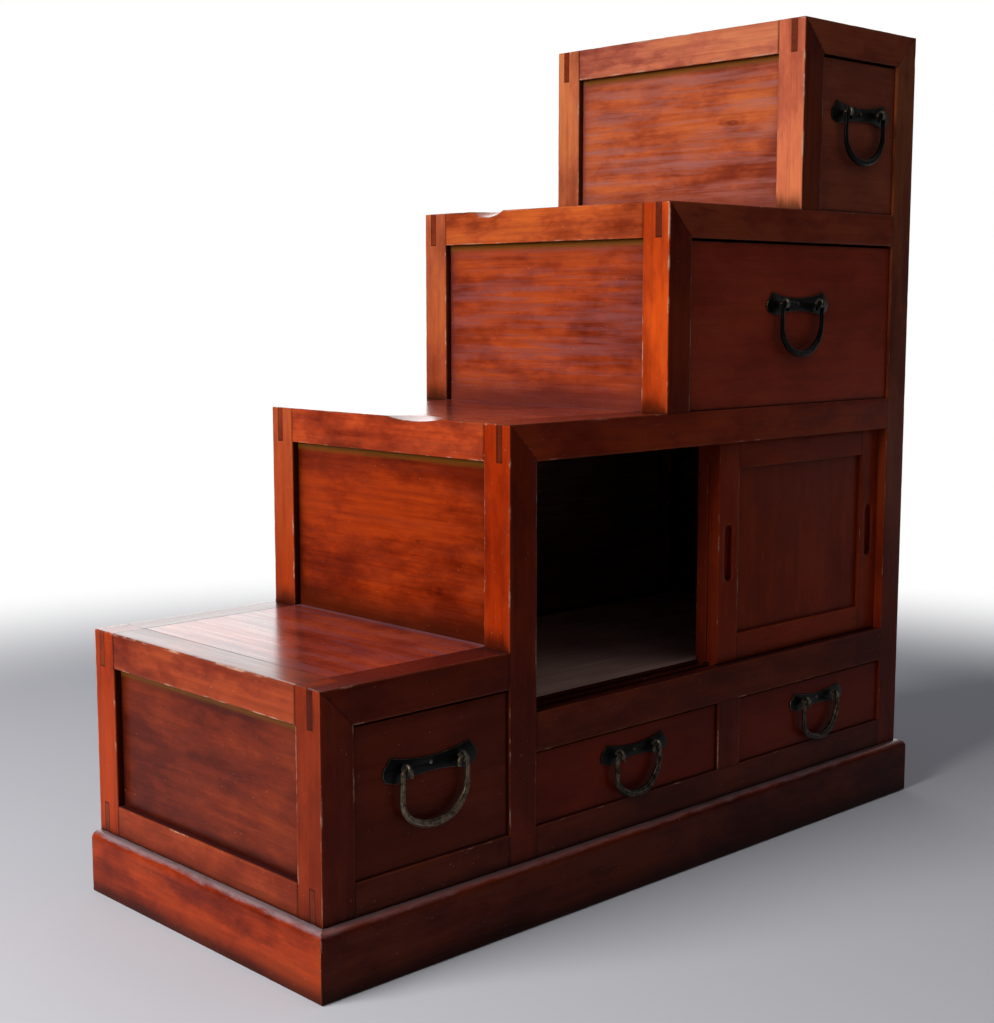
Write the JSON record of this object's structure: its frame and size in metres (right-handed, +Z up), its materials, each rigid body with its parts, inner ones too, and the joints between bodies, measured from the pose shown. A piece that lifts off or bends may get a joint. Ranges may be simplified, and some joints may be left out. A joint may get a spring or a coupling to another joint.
{
  "type": "step chest",
  "caption": "Stair-shaped wooden chest on a plinth: framed steps with drawers, iron bail handles and a cabinet behind sliding doors.",
  "frame": {"origin": "middle of the footprint at the floor", "axes": "+Z up, the drawer and door fronts face -Y, the steps rise towards +X"},
  "size_m": [1.024, 0.432, 1.024],
  "materials": {
    "lacquered_wood": "red-brown lacquer, satin to gloss, worn pale along the edges",
    "plain_inner_wood": "unlacquered, aged softwood",
    "wrought_iron": "black wrought iron, rubbed bright on the edges"
  },
  "bodies": {
    "carcass": {"plinth_front": "lacquered_wood", "plinth_ends": "lacquered_wood", "plinth_back": "plain_inner_wood", "front_post_1": "lacquered_wood", "front_post_2": "lacquered_wood", "front_post_3": "lacquered_wood", "front_post_4": "lacquered_wood", "front_post_right": "lacquered_wood", "drawer_divider_post": "lacquered_wood", "front_rail_step_1": "lacquered_wood", "bottom_rails": "lacquered_wood", "cabinet_sill": "lacquered_wood", "cabinet_head_rail": "lacquered_wood", "front_rail_step_3": "lacquered_wood", "front_rail_top": "lacquered_wood", "back_posts": "lacquered_wood", "back_rails": "lacquered_wood", "riser_rail_1": "lacquered_wood", "riser_rail_2": "lacquered_wood", "riser_rail_3": "lacquered_wood", "riser_rail_4": "lacquered_wood", "right_side_rails": "lacquered_wood", "right_side_panels": "lacquered_wood", "riser_panel_1": "lacquered_wood", "riser_panel_2": "lacquered_wood", "riser_panel_3": "lacquered_wood", "riser_panel_4": "lacquered_wood", "back_panels": "plain_inner_wood", "tread_1": "lacquered_wood", "tread_2": "lacquered_wood", "tread_3": "lacquered_wood", "top_board": "lacquered_wood", "drawer_shelves": "plain_inner_wood", "cabinet_floor": "plain_inner_wood", "drawer_guides": "plain_inner_wood", "cross_bearers": "plain_inner_wood"},
    "drawer_1": {"drawer_1_front": "lacquered_wood", "drawer_1_box": "plain_inner_wood", "drawer_1_handle_plate": "wrought_iron"},
    "drawer_1_bail": {"drawer_1_bail": "wrought_iron"},
    "drawer_2": {"drawer_2_front": "lacquered_wood", "drawer_2_box": "plain_inner_wood", "drawer_2_handle_plate": "wrought_iron"},
    "drawer_2_bail": {"drawer_2_bail": "wrought_iron"},
    "drawer_3": {"drawer_3_front": "lacquered_wood", "drawer_3_box": "plain_inner_wood", "drawer_3_handle_plate": "wrought_iron"},
    "drawer_3_bail": {"drawer_3_bail": "wrought_iron"},
    "drawer_4": {"drawer_4_front": "lacquered_wood", "drawer_4_box": "plain_inner_wood", "drawer_4_handle_plate": "wrought_iron"},
    "drawer_4_bail": {"drawer_4_bail": "wrought_iron"},
    "drawer_5": {"drawer_5_front": "lacquered_wood", "drawer_5_box": "plain_inner_wood", "drawer_5_handle_plate": "wrought_iron"},
    "drawer_5_bail": {"drawer_5_bail": "wrought_iron"},
    "front_door": {"front_door_frame": "lacquered_wood", "front_door_panel": "lacquered_wood"},
    "rear_door": {"rear_door_frame": "lacquered_wood", "rear_door_panel": "lacquered_wood"}
  },
  "joints": [
    {"name": "drawer_1_slide", "type": "slide", "parent": "carcass", "child": "drawer_1", "axis": [0, -1, 0], "range_m": [0, 0.3]},
    {"name": "drawer_1_bail_swing", "type": "hinge", "parent": "drawer_1", "child": "drawer_1_bail", "pos_m": [-0.357, -0.2091, 0.21115], "axis": [-1, 0, 0], "range_deg": [-3, 170]},
    {"name": "drawer_2_slide", "type": "slide", "parent": "carcass", "child": "drawer_2", "axis": [0, -1, 0], "range_m": [0, 0.3]},
    {"name": "drawer_2_bail_swing", "type": "hinge", "parent": "drawer_2", "child": "drawer_2_bail", "pos_m": [-0.043, -0.2091, 0.1644], "axis": [-1, 0, 0], "range_deg": [-3, 170]},
    {"name": "drawer_3_slide", "type": "slide", "parent": "carcass", "child": "drawer_3", "axis": [0, -1, 0], "range_m": [0, 0.3]},
    {"name": "drawer_3_bail_swing", "type": "hinge", "parent": "drawer_3", "child": "drawer_3_bail", "pos_m": [0.316, -0.2091, 0.1644], "axis": [-1, 0, 0], "range_deg": [-3, 170]},
    {"name": "drawer_4_slide", "type": "slide", "parent": "carcass", "child": "drawer_4", "axis": [0, -1, 0], "range_m": [0, 0.3]},
    {"name": "drawer_4_bail_swing", "type": "hinge", "parent": "drawer_4", "child": "drawer_4_bail", "pos_m": [0.25525, -0.2091, 0.67615], "axis": [-1, 0, 0], "range_deg": [-3, 170]},
    {"name": "drawer_5_slide", "type": "slide", "parent": "carcass", "child": "drawer_5", "axis": [0, -1, 0], "range_m": [0, 0.3]},
    {"name": "drawer_5_bail_swing", "type": "hinge", "parent": "drawer_5", "child": "drawer_5_bail", "pos_m": [0.37975, -0.2091, 0.9164], "axis": [-1, 0, 0], "range_deg": [-3, 170]},
    {"name": "front_door_slide", "type": "slide", "parent": "carcass", "child": "front_door", "axis": [-1, 0, 0], "range_m": [0, 0.324]},
    {"name": "rear_door_slide", "type": "slide", "parent": "carcass", "child": "rear_door", "axis": [-1, 0, 0], "range_m": [0, 0.324]}
  ]
}
